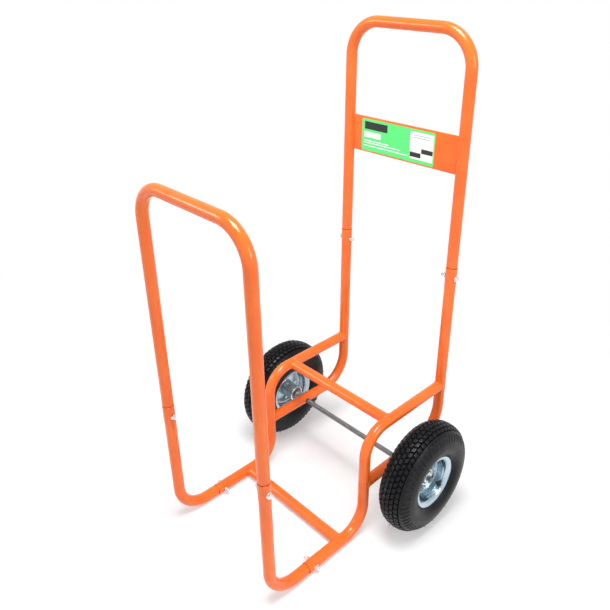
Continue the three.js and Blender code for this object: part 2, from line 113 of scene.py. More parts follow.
# %% [markdown]
# ## Light and floor
# The picture is a studio shot on white: light from all round, a broad lamp above and ahead, and a
# soft shadow under the cart. The world gives the even light. The camera sees it as pure white, and
# mirrors see white that fades to half its strength overhead. The floor is pale card that keeps the
# shadow. A glow that only the camera and mirrors see lifts the lit card to white and takes over
# further out, so the lamps can stay at a plain level.

# %% World
world = bpy.data.worlds.new("white studio")
bpy.context.scene.world = world
world.use_nodes = True
tree = world.node_tree
tree.nodes.clear()
ray = add(tree, "LightPath").outputs
seen = add(
    tree,
    "Math",
    {0: ray["Is Camera Ray"], 1: ray["Is Transmission Ray"]},
    operation="MAXIMUM",
)
direction = add(tree, "TexCoord").outputs["Generated"]
height = add(tree, "SeparateXYZ", {"Vector": direction}).outputs["Z"]
walls = add(tree, "MapRange", {"Value": height, "To Min": 0.56, "To Max": 0.5})
in_mirrors = add(tree, "MapRange", {"Value": height, "To Min": 1.0, "To Max": 0.5})
even, gloss, white = (
    add(tree, "Background", {"Color": (1, 1, 1, 1), "Strength": strength})
    for strength in (walls, in_mirrors, 1.0)
)
mirrored = add(tree, "MixShader", {0: ray["Is Glossy Ray"], 1: even, 2: gloss})
mixed = add(tree, "MixShader", {0: seen, 1: mirrored, 2: white})
add(tree, "OutputWorld", {"Surface": mixed})

# %% Floor
card, tree, point = new_material("white card floor")
ray = add(tree, "LightPath").outputs
reach = add(tree, "VectorMath", {0: point}, operation="LENGTH")
further = add(
    tree,
    "MapRange",
    {"Value": reach, "From Min": 0.45, "From Max": 1.7, "To Min": 0.34, "To Max": 1.0},
    interpolation_type="SMOOTHSTEP",
)
mirrored = add(
    tree,
    "Math",
    {0: ray["Is Glossy Ray"], 1: ray["Is Transmission Ray"]},
    operation="MAXIMUM",
)
seen = add(tree, "Math", {0: ray["Is Camera Ray"], 1: mirrored}, operation="MAXIMUM")
glow_share = add(tree, "Math", {0: further, 1: seen}, operation="MULTIPLY")
matt = add(tree, "BsdfDiffuse", {"Color": linear("#F2F2F3"), "Roughness": 0.5})
glow = add(tree, "Emission", {"Color": (1, 1, 1, 1), "Strength": 1.0})
lifted = add(tree, "MixShader", {0: glow_share, 1: matt, 2: glow})
add(tree, "OutputMaterial", {"Surface": lifted})
half, card_top = 30.0, -0.0006  # metres; the card lies just under what stands on it
corners = [(x * half, y * half, card_top) for x, y in ((-1, -1), (1, -1), (1, 1), (-1, 1))]
floor_mesh = bpy.data.meshes.new("floor")
floor_mesh.from_pydata(corners, [], [(0, 1, 2, 3)])
floor_mesh.materials.append(card)
floor = bpy.data.objects.new("floor", floor_mesh)
bpy.context.collection.objects.link(floor)

# %% Lamps


def softbox(name, place, target, size, watts):
    """A square lamp at a place in metres, turned to face a target."""
    lamp = bpy.data.lights.new(name, "AREA")
    lamp.size = size
    lamp.energy = watts
    box = bpy.data.objects.new(name, lamp)
    away = np.subtract(place, target)
    flat = np.hypot(away[0], away[1])
    box.location = place
    box.rotation_euler = (np.arctan2(flat, away[2]), 0, np.arctan2(away[0], -away[1]))
    bpy.context.collection.objects.link(box)


softbox("overhead", (0.3, -0.3, 2.6), (0, 0, 0.4), 1.0, 52)
softbox("front_left", (-1.9, -1.9, 1.7), (0, 0, 0.5), 0.8, 14)
softbox("right", (2.6, 0.2, 1.5), (0, 0, 0.4), 1.0, 18)
print("lamps:", [light.name for light in bpy.data.lights])

# %% [markdown]
# ## Powder coat
# The frame is mild steel tube, sprayed with dry polyester powder and baked until it flows. That
# leaves a hard, glossy skin, a fraction of a millimetre thick, with a faint orange peel: swells
# about 3 mm across that make a highlight's edge waver. The colour is even, with slow changes where
# the powder lay thicker. The undersides that stand on the floor are scuffed.

# %% Powder coat
powder_coat, tree, point = new_material("orange polyester powder coat")
thickness = add(tree, "TexNoise", {"Vector": point, "Scale": 1000 / 60, "Detail": 2})
thick = add(tree, "MapRange", {"Value": thickness, "From Min": 0.35, "From Max": 0.68})
tones = {"Factor": thick, "A": linear("#F0691F"), "B": linear("#F57327")}
orange = add(tree, "Mix", tones, data_type="RGBA")
height = add(tree, "SeparateXYZ", {"Vector": point}).outputs["Z"]
touching = {"Value": height, "From Min": 0.0004, "From Max": 0.0022, "To Min": 1, "To Max": 0}
near_floor = add(tree, "MapRange", touching)
speckle = {"Vector": point, "Scale": 1000 / 3.5, "Detail": 4, "Roughness": 0.65}
grit = add(tree, "TexNoise", speckle)
gritty = add(tree, "MapRange", {"Value": grit, "From Min": 0.52, "From Max": 0.6})
scuffed = add(tree, "Math", {0: near_floor, 1: gritty}, operation="MULTIPLY")
tones = {"Factor": scuffed, "A": orange, "B": linear("#A8572F")}
base = add(tree, "Mix", tones, data_type="RGBA")
flow = add(tree, "TexNoise", {"Vector": point, "Scale": 1000 / 25, "Detail": 2})
gloss = {"Value": flow, "From Min": 0.3, "From Max": 0.7, "To Min": 0.14, "To Max": 0.22}
satin = add(tree, "MapRange", gloss)
dulled = add(tree, "Math", {0: scuffed, 1: 0.4, 2: satin}, operation="MULTIPLY_ADD")
peel = add(tree, "TexNoise", {"Vector": point, "Scale": 1000 / 3, "Detail": 0.5})
bump = add(tree, "Bump", {"Height": peel, "Strength": 0.05, "Distance": 0.0002})
looks = {"Base Color": base, "Roughness": dulled, "IOR": 1.5, "Normal": bump}
coat = add(tree, "BsdfPrincipled", looks)
add(tree, "OutputMaterial", {"Surface": coat})

# %% [markdown]
# ## From numbers to a mesh
# Every new piece is a grid of points, and each grid is worked out at once as an array: rows run
# along the piece and columns run round it. Neighbouring grid points are joined by four-sided faces.
# A piece may be several grids, such as a bolt's shank and its head.

# %% Meshes
made = {}


def full_turn(count):
    """Angles from 0 towards 2 pi, all the same step apart."""
    return np.linspace(0, 2 * np.pi, count, endpoint=False)


def grid_faces(rows, columns, closed_rows=True, closed_columns=True):
    """Face (i, j) joins grid points (i, j), (i, j+1), (i+1, j+1) and (i+1, j), counted round the
    grid where it is closed."""
    i = np.arange(rows if closed_rows else rows - 1)[:, None]
    j = np.arange(columns if closed_columns else columns - 1)[None, :]
    after_i, after_j = (i + 1) % rows, (j + 1) % columns
    corners = (i * columns + j, i * columns + after_j, after_i * columns + after_j, after_i * columns + j)
    return np.stack(np.broadcast_arrays(*corners), -1).reshape(-1, 4)


def looped(grid):
    """A grid and its faces, closed both ways, as for a hollow wall that meets itself."""
    return grid, grid_faces(*grid.shape[:2])


def open_rows(grid):
    """A grid and its faces, closed round the columns but not from the last row to the first."""
    return grid, grid_faces(*grid.shape[:2], closed_rows=False)


def mesh_piece(name, grids, material, body="frame", node=None, crease=35):
    """A piece from grids, each a (points in mm, faces) pair, that rides a body in place of a node."""
    points = np.concatenate([grid[0].reshape(-1, 3) for grid in grids]) / 1000
    starts = np.cumsum([0] + [grid[0].size // 3 for grid in grids[:-1]])
    faces = [face for grid, start in zip(grids, starts) for face in (grid[1] + start).tolist()]
    mesh = bpy.data.meshes.new(name)
    mesh.from_pydata(points.tolist(), [], faces)
    mesh.validate()
    mesh.materials.append(material)
    mesh.polygons.foreach_set("use_smooth", np.ones(len(mesh.polygons), bool))
    mesh.set_sharp_from_angle(angle=np.radians(crease))
    piece = bpy.data.objects.new(name, mesh)
    bpy.context.collection.objects.link(piece)
    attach(piece, body)
    if node:
        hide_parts(node)
    made[name] = len(mesh.polygons)
    return piece


# %% [markdown]
# ## Round tube on a bent line
# A tube bender makes straight stretches and true arcs, so the centre line is that: corners, each
# rounded by an arc. The skin of a tube is then a ring carried along the line. The ring's radius may
# change on the way: at a swaged end, where the maker squeezes the tube so that it slides into the
# next, and at a socket's mouth, which is rounded. One closed outline of distances and radii, out
# along the skin and back along the bore, gives the whole tube with its wall.

# %% Bent lines


def bent_line(corners, bend_radius, step=np.radians(4)):
    """Points of straight stretches joined by arcs. An arc that turns by t starts r tan(t/2) before its
    corner, and its points are centre - r cos(a) inward + r sin(a) ahead, for a from 0 to t."""
    corners = np.asarray(corners, float)
    parts = [corners[:1]]
    for before, corner, after in zip(corners, corners[1:], corners[2:]):
        ahead = (corner - before) / np.linalg.norm(corner - before)
        onward = (after - corner) / np.linalg.norm(after - corner)
        turn = np.arccos(np.clip(ahead @ onward, -1, 1))
        inward = (onward - ahead * np.cos(turn)) / np.sin(turn)
        start = corner - ahead * bend_radius * np.tan(turn / 2)
        a = np.linspace(0, turn, int(np.ceil(turn / step)) + 1)[:, None]
        parts.append(start + bend_radius * ((1 - np.cos(a)) * inward + np.sin(a) * ahead))
    return np.concatenate(parts + [corners[-1:]])


def distances(line):
    """How far along the line each of its points is."""
    return np.concatenate([[0], np.cumsum(np.linalg.norm(np.diff(line, axis=0), axis=1))])


def place_on(line, distance):
    """Point and direction of the line at each distance: straight between its points, with the
    direction averaged at a point, so that rings halve the angle of a bend."""
    s = distances(line)
    ahead = np.diff(line, axis=0) / np.diff(s)[:, None]
    at_points = np.concatenate([ahead[:1], ahead[:-1] + ahead[1:], ahead[-1:]])
    point = np.stack([np.interp(distance, s, axis) for axis in line.T], -1)
    direction = np.stack([np.interp(distance, s, axis) for axis in at_points.T], -1)
    return point, direction / np.linalg.norm(direction, axis=-1, keepdims=True)


def skin_on(line, outline, sideways, sides=40):
    """Ring k is line(d_k) + r_k (cos(a) n + sin(a) b) for outline (d_k, r_k), with a from 0 to 2 pi,
    b square to the line and to sideways, and n square to both."""
    outline = np.asarray(outline, float)
    point, ahead = place_on(line, outline[:, 0])
    across = np.cross(ahead, sideways)
    across /= np.linalg.norm(across, axis=-1, keepdims=True)
    beside = np.cross(across, ahead)
    a = full_turn(sides)[None, :, None]
    ring = np.cos(a) * beside[:, None] + np.sin(a) * across[:, None]
    return point[:, None] + outline[:, 1, None, None] * ring


# %% [markdown]
# ## Tube ends
# Three ends are used. A swaged end narrows over a few millimetres and runs on as a spigot, hidden
# in the next tube. A mouth is the square end that it slides into, with its edge rolled a little. A
# saddle is cut to lie against another tube, where it is welded. At each joint the narrowing tube
# and the rolled mouth leave a groove about 2 mm wide, which shows in the picture as a dark line
# with a bright lip.

# %% Tube ends
tube_radius, tube_bore, spigot_length = 12.5, 11.0, 45.0

# Distance past the seam and radius, from the full tube to the spigot's tip and back up its bore
swaged_end = np.array(
    [(-3.4, 12.5), (-2.6, 12.4), (-1.9, 12.1), (-1.3, 11.6), (-0.7, 11.05), (0.2, 10.7)]
    + [(44.2, 10.7), (45.0, 10.0), (45.0, 9.2), (0.5, 9.2), (-3.0, 11.0)]
)
# The mouth: distance out from the end and radius. The last 45 mm are widened to take the spigot,
# and the lip is rolled a little further
mouth_end = np.array(
    [(-50, 12.5), (-47, 12.55), (-44, 12.75), (-41, 12.9), (-3.0, 12.95), (-2.0, 13.05), (-1.2, 13.1)]
    + [(-0.5, 12.95), (-0.1, 12.5), (0, 11.9), (-0.4, 11.3), (-1.4, 11.0)]
)
# A saddle end: the skin and the bore stop at the same place, and are cut to the saddle afterwards
saddle_end = np.array([(0, 12.5), (0, 11.0)])


def tube_outline(line, first_end, last_end):
    """Skin from the first end to the last, then the bore back. Between the ends it has a ring at
    each point of the line. An end's distances count outwards from the tube's own end."""
    s = distances(line)
    head = first_end * [-1, 1] + [spigot_length if first_end is swaged_end else 0, 0]
    tail = last_end + [s[-1] - (spigot_length if last_end is swaged_end else 0), 0]
    inside = s[(s > head[:, 0].max() + 0.5) & (s < tail[:, 0].min() - 0.5)]
    skin = np.stack([inside, np.full(len(inside), tube_radius)], -1)
    bore = np.stack([inside[::-1], np.full(len(inside), tube_bore)], -1)
    return np.concatenate([skin, tail, bore, head[::-1]] if len(inside) else [tail, head[::-1]])


def tube(line, first_end, last_end, sideways):
    """A tube's grid: its outline carried on the line, closed both ways."""
    return looped(skin_on(line, tube_outline(line, first_end, last_end), sideways))


# %% Frame dimensions
side = 157.0
upright_y, axle_y, step_y = 283.9, 133.9, 16.4
leg_y, hoop_y = -261.1, -283.9
floor_z, shelf_z, axle_z = 12.5, 262.0, 130.0
hoop_top, handle_top = 827.5, 1072.5
hoop_seam, handle_seam, foot_seam = 324.0, 574.0, -161.1
seam_gap = 0.4
# Bend radii of the centre lines
hoop_corner, handle_corner, foot_bend, step_bend, upright_bend = 70, 75, 74, 60, 78


def leg_y_at(z):
    """The leaning front leg: leg_y at the floor tubes, and in a straight line to hoop_y at the top."""
    return leg_y + (hoop_y - leg_y) * (z - floor_z) / (hoop_top - floor_z)


leg_up = np.array([0, hoop_y - leg_y, hoop_top - floor_z])
leg_up /= np.linalg.norm(leg_up)
up, back, left = np.eye(3)[[2, 1, 0]]
print("front leg leans", round(float(np.degrees(np.arctan2(-leg_up[1], leg_up[2]))), 2), "degrees")

# %% [markdown]
# ## The hoop and the handle
# Both are one length of tube bent twice into a U and swaged at both ends. Their line starts and
# ends at the spigots' tips, so the outline can narrow at the seams.

# %% Hoop and handle


def plugged_u(seam, seam_y, top_y, top_z, corner_radius, rising):
    """The line of a U: spigot's tip, up one leg, over the top and down the other leg to the tip."""
    foot = np.array([side, seam_y, seam]) - spigot_length * rising
    top = np.array([side, top_y, top_z])
    flip = [-1, 1, 1]
    return bent_line([foot, top, top * flip, foot * flip], corner_radius)


handle_line = plugged_u(handle_seam, upright_y, upright_y, handle_top, handle_corner, up)
hoop_line = plugged_u(hoop_seam, leg_y_at(hoop_seam), hoop_y, hoop_top, hoop_corner, leg_up)
for name, line, normal, node in (
    ("handle_tube", handle_line, back, "handle_loop"),
    ("hoop_tube", hoop_line, np.cross(leg_up, left), "front_hoop"),
):
    mesh_piece(name, [tube(line, swaged_end, swaged_end, normal)], powder_coat, node=node)
    print(name, round(float(distances(line)[-1])), "mm of tube")

# %% [markdown]
# ## Legs, bed and uprights
# Each side of the cart has a foot that turns the front leg back along the floor, a bed tube that
# steps up over the axle and runs back as a rail, and an upright that bends forward at axle height.
# Where a tube ends square against another of the same size, its end is cut to a saddle: the further
# a point of the ring lies to the side, the further it reaches round the other tube.

# %% Legs, bed and uprights


def to_saddle(grid, last, axis, centre, spread_axis, spread_centre, outward):
    """Moves end rings along axis to where they meet a tube of radius R that crosses them square:
    at a distance d to the side the surface is sqrt(R^2 - d^2) from that tube's centre."""
    for ring in last:
        d = np.clip(np.abs(grid[ring, :, spread_axis] - spread_centre), 0, tube_radius)
        grid[ring, :, axis] = centre + outward * np.sqrt(tube_radius**2 - d**2)


def ring_rows(grid, axis, value):
    """The rows of a grid that lie in the plane where the coordinate on axis has that value."""
    return np.flatnonzero(np.abs(grid[:, :, axis] - value).max(1) < 1e-6)


for s, hand in ((1, "left"), (-1, "right")):
    x = s * side
    mouth = [x, leg_y_at(hoop_seam), hoop_seam] - seam_gap * leg_up
    foot_corners = [mouth, [x, leg_y, floor_z], [x, foot_seam + spigot_length, floor_z]]
    grids = [tube(bent_line(foot_corners, foot_bend), mouth_end, swaged_end, left)]
    mesh_piece(f"foot_tube_{hand}", grids, powder_coat, node=f"foot_{hand}")

    bed_corners = [[x, foot_seam + seam_gap, floor_z], [x, step_y, floor_z]]
    bed_corners += [[x, step_y, shelf_z], [x, upright_y, shelf_z]]
    grid, faces = tube(bent_line(bed_corners, step_bend), mouth_end, saddle_end, left)
    to_saddle(grid, ring_rows(grid, 1, upright_y), 1, upright_y, 0, x, -1)
    mesh_piece(f"bed_rail_{hand}", [(grid, faces)], powder_coat, node=f"bed_tube_{hand}")

    upright_top = [x, upright_y, handle_seam - seam_gap]
    upright_corners = [upright_top, [x, upright_y, axle_z], [x, step_y, axle_z]]
    grid, faces = tube(bent_line(upright_corners, upright_bend), mouth_end, saddle_end, left)
    to_saddle(grid, ring_rows(grid, 1, step_y), 1, step_y, 0, x, 1)
    mesh_piece(f"upright_tube_{hand}", [(grid, faces)], powder_coat, node=f"upright_{hand}")

# %% Cross tubes
cross_inset = 15.0  # from the step's bends
cross_tubes = {
    "floor_cross": (step_y - step_bend - cross_inset, floor_z),
    "shelf_cross": (step_y + step_bend + cross_inset, shelf_z),
}
for name, (y, z) in cross_tubes.items():
    line = np.array([[-side, y, z], [side, y, z]])
    grid, faces = tube(line, saddle_end, saddle_end, up)
    for s in (1, -1):
        to_saddle(grid, ring_rows(grid, 0, s * side), 0, s * side, 2, z, -s)
    mesh_piece(name, [(grid, faces)], powder_coat, node=f"{name}_tube")
print("frame tubes:", made)

# %% [markdown]
# ## Weld beads
# The frame is MIG welded before it is sprayed, so every joint has a bead under the paint: a ridge
# about 4 mm wide with ripples some 2 mm apart, one for each pulse of the welder's hand. Where a
# tube meets another square on, the bead follows the saddle. It is a small ring carried round that
# curve, and its radius swells and shrinks with the ripples. It is painted with the frame.

# %% Beads on saddles


def saddle_bead(centre, axis, spread, rise, radius=2.1, ripples=34):
    """Bead round the saddle of a tube that points along axis and ends on a tube along rise.
    At angle a the curve is centre - R |sin a| axis + R (cos a spread + sin a rise), and round it
    goes r (cos b n + sin b axis), with n the tube's own outward direction and
    r = radius (1 + 0.14 cos(ripples a) + 0.1 sin(3 a + 1)), sunk by half a millimetre."""
    a = full_turn(8 * ripples)[:, None, None]
    b = full_turn(8)[None, :, None]
    axis, spread, rise = (np.asarray(v, float) for v in (axis, spread, rise))
    out = np.cos(a) * spread + np.sin(a) * rise
    curve = np.asarray(centre) - tube_radius * np.abs(np.sin(a)) * axis + (tube_radius - 0.5) * out
    r = radius * (1 + 0.14 * np.cos(ripples * a) + 0.1 * np.sin(3 * a + 1))
    return looped(curve + r * (np.cos(b) * out + np.sin(b) * axis))


def seam_bead(start, end, beside, radius=1.6, spacing=2.2):
    """A straight bead: r (cos b n + sin b m) round the line, with ripples, closed to a point at
    both ends by r = radius sqrt(1 - u^10) for u from -1 to 1."""
    start, end = np.asarray(start, float), np.asarray(end, float)
    length = np.linalg.norm(end - start)
    u = np.linspace(-1, 1, int(6 * length / spacing))[:, None, None]
    b = full_turn(8)[None, :, None]
    other = np.cross((end - start) / length, beside)
    r = radius * np.sqrt(1 - u**10) * (1 + 0.14 * np.cos(np.pi * length * u / spacing))
    middle, half = (start + end) / 2, (end - start) / 2
    return open_rows(middle + half * u + r * (np.cos(b) * beside + np.sin(b) * other))


beads = []
for s in (1, -1):
    x = s * side
    beads.append(saddle_bead([x, upright_y, shelf_z], back, left, up))
    beads.append(saddle_bead([x, step_y, axle_z], -back, left, up))
    for y, z in cross_tubes.values():
        beads.append(saddle_bead([x, y, z], s * left, up, back))
mesh_piece("weld_beads", beads, powder_coat, crease=80)

# %% [markdown]
# ## Plate and label
# A flat steel plate joins the handle's legs and carries a printed film. The plate is 2.5 mm sheet
# with its edges eased, welded along both ends. The film is vinyl with a satin face, cut a little
# smaller than the plate. Its print is plain blocks and bars of colour and holds no words.

# %% Plate


def slab(low, high, edge):
    """A flat block with eased edges. Its section is a rectangle whose corners are arcs of radius
    r = edge - inset, and at both ends x = -h + edge (1 - cos t) while inset = edge (1 - sin t)."""
    low, high = np.asarray(low, float), np.asarray(high, float)
    middle, half = (low + high) / 2, (high - low) / 2
    t = np.linspace(0, np.pi / 2, 4)
    x = np.concatenate([edge * (1 - np.cos(t)) - half[0], half[0] - edge * (1 - np.cos(t[::-1]))])
    r = edge - np.concatenate([edge * (1 - np.sin(t)), edge * (1 - np.sin(t[::-1]))])
    turn = np.concatenate([t, t + np.pi / 2, t + np.pi, t + 1.5 * np.pi])
    corner = np.repeat([[1, 1], [-1, 1], [-1, -1], [1, -1]], 4, axis=0)
    y = corner[:, 0] * (half[1] - edge) + r[:, None] * np.cos(turn)
    z = corner[:, 1] * (half[2] - edge) + r[:, None] * np.sin(turn)
    rings = np.stack([np.broadcast_to(x[:, None], y.shape), y, z], -1)
    poles = [[[end, 0, 0]] * len(turn) for end in (-half[0], half[0])]
    return open_rows(np.concatenate([poles[:1], rings, poles[1:]]) + middle)


plate_low, plate_high = (np.array(corner) * 1000 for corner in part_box("handle_plate"))
mesh_piece("plate", [slab(plate_low, plate_high, edge=0.7)], powder_coat, node="handle_plate")
beads = []
for s in (1, -1):
    for y in (plate_low[1], plate_high[1]):
        low_end = [s * (plate_high[0] + 0.2), y, plate_low[2] + 2]
        high_end = [s * (plate_high[0] + 0.2), y, plate_high[2] - 2]
        beads.append(seam_bead(low_end, high_end, left))
mesh_piece("plate_welds", beads, powder_coat, crease=80)

# %% Label film
film, tree, point = new_material("printed vinyl film")
ink = add(tree, "VertexColor", layer_name="ink")
mottle = add(tree, "TexNoise", {"Vector": point, "Scale": 1000 / 30, "Detail": 3})
laid = add(tree, "MapRange", {"Value": mottle, "To Min": 0.3, "To Max": 0.42})
ripple = add(tree, "TexNoise", {"Vector": point, "Scale": 1000 / 12, "Detail": 1})
bump = add(tree, "Bump", {"Height": ripple, "Strength": 0.1, "Distance": 0.0003})
looks = {"Base Color": ink, "Roughness": laid, "IOR": 1.5, "Normal": bump}
printed = add(tree, "BsdfPrincipled", looks)
add(tree, "OutputMaterial", {"Surface": printed})

# %% Label


def label(low, high, front, printed_blocks, round_corner=4.0, thickness=0.12):
    """A film from low to high (x, z), standing on the plate's front. Its grid lines lie at the edges
    of the printed blocks, so that each face has one ink. At a corner, the point (dx, dz) out from
    the centre of its arc moves to (dx, dz) max(dx, dz) / hypot(dx, dz), so a square turns round."""
    cuts = []
    for axis in (0, 1):
        edges = {low[axis], high[axis]} | {v for block, _ in printed_blocks for v in block[axis]}
        edges |= {low[axis] + d for d in (1, 2, 4)} | {high[axis] - d for d in (1, 2, 4)}
        cuts.append(np.array(sorted(edges)))
    x, z = np.meshgrid(*cuts, indexing="ij")
    middle_x, middle_z = (x[:-1, :-1] + x[1:, 1:]) / 2, (z[:-1, :-1] + z[1:, 1:]) / 2
    inks = np.broadcast_to(linear(green_ink), (*middle_x.shape, 4)).copy()
    for (across_x, across_z), colour in printed_blocks:
        inside = (middle_x > across_x[0]) & (middle_x < across_x[1])
        inside &= (middle_z > across_z[0]) & (middle_z < across_z[1])
        inks[inside] = linear(colour)
    deep_x = np.clip(round_corner - np.minimum(x - low[0], high[0] - x), 0, None)
    deep_z = np.clip(round_corner - np.minimum(z - low[1], high[1] - z), 0, None)
    far = np.hypot(deep_x, deep_z)
    in_corner = (deep_x > 0) & (deep_z > 0)
    drawn_in = np.where(in_corner, np.maximum(deep_x, deep_z) / np.maximum(far, 1e-9), 1)
    x = x + np.sign((low[0] + high[0]) / 2 - x) * deep_x * (1 - drawn_in)
    z = z + np.sign((low[1] + high[1]) / 2 - z) * deep_z * (1 - drawn_in)
    face = np.stack([x, np.full(x.shape, front - thickness), z], -1)
    back_face = face + [0, thickness + 0.05, 0]
    grid = np.concatenate([face, back_face])
    rows, columns = x.shape
    faces = grid_faces(rows, columns, False, False)
    under = faces[:, ::-1] + rows * columns
    number = np.arange(rows * columns).reshape(rows, columns)
    sides = number[:-1, 0], number[-1, :-1], number[:0:-1, -1], number[0, :0:-1]
    loop = np.concatenate(sides)
    after = np.roll(loop, -1)
    rim = np.stack([after, loop, loop + rows * columns, after + rows * columns], -1)
    film_inks = np.concatenate([inks.reshape(-1, 4)] * 2 + [np.tile(linear(green_ink), (len(rim), 1))])
    return grid, np.concatenate([faces, under, rim]), film_inks


green_ink, black_ink, white_ink, grey_ink = "#5CE87C", "#1E211E", "#F4F6F2", "#B9BDB8"
blocks_of_ink = [
    (((-109, -42.5), (837.5, 855)), black_ink),
    (((-110, -61), (818.5, 831.5)), white_ink),
    (((-110, -37), (809.8, 812.2)), white_ink),
    (((-110, -4), (804.8, 807.2)), white_ink),
    (((-110, 18), (797.8, 800.2)), white_ink),
    (((21.5, 83.5), (795, 855.5)), white_ink),
    (((30, 75), (842, 844)), grey_ink),
    (((30, 75), (847, 849)), grey_ink),
    (((22.5, 52), (799.5, 810)), black_ink),
    (((53, 83), (810.5, 820.7)), black_ink),
]
grid, faces, inks = label((-117, 787.5), (86.5, 861), plate_low[1], blocks_of_ink)
film_piece = mesh_piece("label_film", [(grid, faces)], film)
ink = film_piece.data.color_attributes.new("ink", "FLOAT_COLOR", "CORNER")
ink.data.foreach_set("color", np.repeat(inks, 4, axis=0).ravel())
print("label:", len(faces), "faces")

# %% [markdown]
# ## Bolts and nuts
# The joints are held by flanged M6 bolts, zinc plated, with nuts on the inner side. A bolt's head
# is a hexagon cut by a cone, which leaves the arcs that one sees on its corners. At each angle the
# hexagon is half the width across flats divided by the cosine of the angle to the nearest flat, and
# the cone caps it near the faces. Thread is cut as a real screw line: its ridge climbs one pitch in
# each turn.

# %% Fasteners


def hexagon(a, flats):
    """Distance to a regular hexagon's edge at angle a: flats / 2 / cos(a to the nearest flat)."""
    return flats / 2 / np.cos((a + np.pi / 6) % (np.pi / 3) - np.pi / 6)


def round_x(x, r, a):
    """Points (x, r cos a, r sin a), with the three arrays brought to one shape."""
    x, r, a = np.broadcast_arrays(x, r, a)
    return np.stack([x, r * np.cos(a), r * np.sin(a)], -1)


def spun(outline, sides=48, flats=None):
    """Points (x, r cos a, r sin a) for an outline of (x, r), or (x, r, hexed): where hexed is 1, r
    is the cone's radius and the smaller of it and the hexagon is taken."""
    outline = np.array([(*row, 0)[:3] for row in outline], float)
    a = full_turn(sides)[None, :]
    r = np.broadcast_to(outline[:, 1:2], (len(outline), sides))
    if flats:
        r = np.where(outline[:, 2:3] > 0, np.minimum(r, hexagon(a, flats)), r)
    return round_x(outline[:, :1], r, a)


def threaded(start, end, radius, pitch, sides=24):
    """r = radius - 0.6 pitch |2 frac(x / pitch - a / 2 pi) - 1|, run out to a point at both ends."""
    x = np.linspace(start, end, max(int(abs(end - start) / pitch * 6), 6))[:, None]
    a = full_turn(sides)[None, :]
    depth = 0.6 * pitch * np.abs(2 * ((x / pitch - a / (2 * np.pi)) % 1) - 1)
    r = radius - depth
    r[0], r[-1] = radius - 0.6 * pitch, radius - 0.8 * pitch
    poles = round_x(np.array([[start], [end]]), 0, a)
    return open_rows(np.concatenate([poles[:1], round_x(x, r, a), poles[1:]]))


def hex_head(start, height, flats):
    """Outline of a hexagon whose outer face is cut by a 30 degree cone, from the axis to the axis."""
    drop = np.linspace(0.9, 0, 6)
    cone = [(start + height - d, flats / 2 * 0.96 + d * 1.73, 1) for d in drop]
    return [(start, 0), (start, flats, 1), *cone, (start + height, 0)]


def nut_flats(near, far):
    """Outline of a nut's outside, whose two faces are cut by 30 degree cones 1 mm deep."""
    cut = [(d, 4.75 + 1.73 * d, 1) for d in np.linspace(0, 1.0, 5)]
    return [(near + d, *rest) for d, *rest in cut] + [(far - d, *rest) for d, *rest in cut[::-1]]


def joined(grids, s, centre):
    """Grids made for the left side, turned half a turn about Z for the right, and put in place."""
    return [(grid * [s, s, 1] + centre, faces) for grid, faces in grids]


seat = 12.8  # from the tube's axis to the face that bolt and nut sit on
flange = [(seat, 0), (seat, 6.3), (seat + 0.3, 6.5), (seat + 0.9, 6.5), (seat + 1.3, 5.9)]
flange += [(seat + 1.7, 5.2), (seat + 1.7, 0)]
bolt = [
    open_rows(spun(flange)),
    open_rows(spun(hex_head(seat + 1.0, 4.4, 10), flats=10)),
    threaded(seat + 0.5, -24.3, 3.0, 1.0),
]
nut_outline = [(-18.3, 3.2), (-18.3, 3.6), *nut_flats(-18.3, -12.8), (-12.8, 3.6), (-12.8, 3.2)]
nut = [looped(spun(nut_outline, flats=10))]

# %% [markdown]
# ## Zinc plate
# Bolts, washers and the wheels' pressed rims are mild steel with bright zinc plate. The small parts
# have a clear chromate and look silver. The rims have the blue one and look like pale, cool steel.
# The plate grows in small crystals, and pressing leaves it a little uneven, so the gloss drifts
# over a few centimetres, with pale bloom in places.

# %% Zinc plate
plated = []
for name, dark, pale, smooth, hazy in (
    ("clear chromated zinc plate", "#D5DADD", "#F1F3F4", 0.2, 0.32),
    ("blue chromated zinc plate", "#AFC6D2", "#CBDCE4", 0.14, 0.26),
):
    material, tree, point = new_material(name)
    plated.append(material)
    clouds = {"Vector": point, "Scale": 1000 / 30, "Detail": 3, "Roughness": 0.6}
    bloom = add(tree, "TexNoise", clouds)
    bloomed = add(tree, "MapRange", {"Value": bloom, "From Min": 0.3, "From Max": 0.7})
    grain = add(tree, "TexNoise", {"Vector": point, "Scale": 1000 / 1.2, "Detail": 2})
    bump = add(tree, "Bump", {"Height": grain, "Strength": 0.12, "Distance": 0.0001})
    tones = {"Factor": bloomed, "A": linear(dark), "B": linear(pale)}
    colour = add(tree, "Mix", tones, data_type="RGBA")
    haze = add(tree, "MapRange", {"Value": bloomed, "To Min": smooth, "To Max": hazy})
    looks = {"Base Color": colour, "Metallic": 1.0, "Roughness": haze, "Normal": bump}
    zinc = add(tree, "BsdfPrincipled", looks)
    add(tree, "OutputMaterial", {"Surface": zinc})
silver_zinc, blue_zinc = plated

# %% Joint bolts
joints = {
    "handle": (upright_y, handle_seam - 24),
    "hoop": (leg_y_at(hoop_seam - 24), hoop_seam - 24),
    "foot": (foot_seam + 18, floor_z),
}
for joint, (y, z) in joints.items():
    for s, hand in ((1, "left"), (-1, "right")):
        centre = np.array([s * side, y, z])
        for kind, grids in (("bolt", bolt), ("nut", nut)):
            node = f"{joint}_{kind}_{hand}"
            mesh_piece(f"{node}_m6", joined(grids, s, centre), silver_zinc, node=node)
print("fasteners:", sum("_m6" in name for name in made))

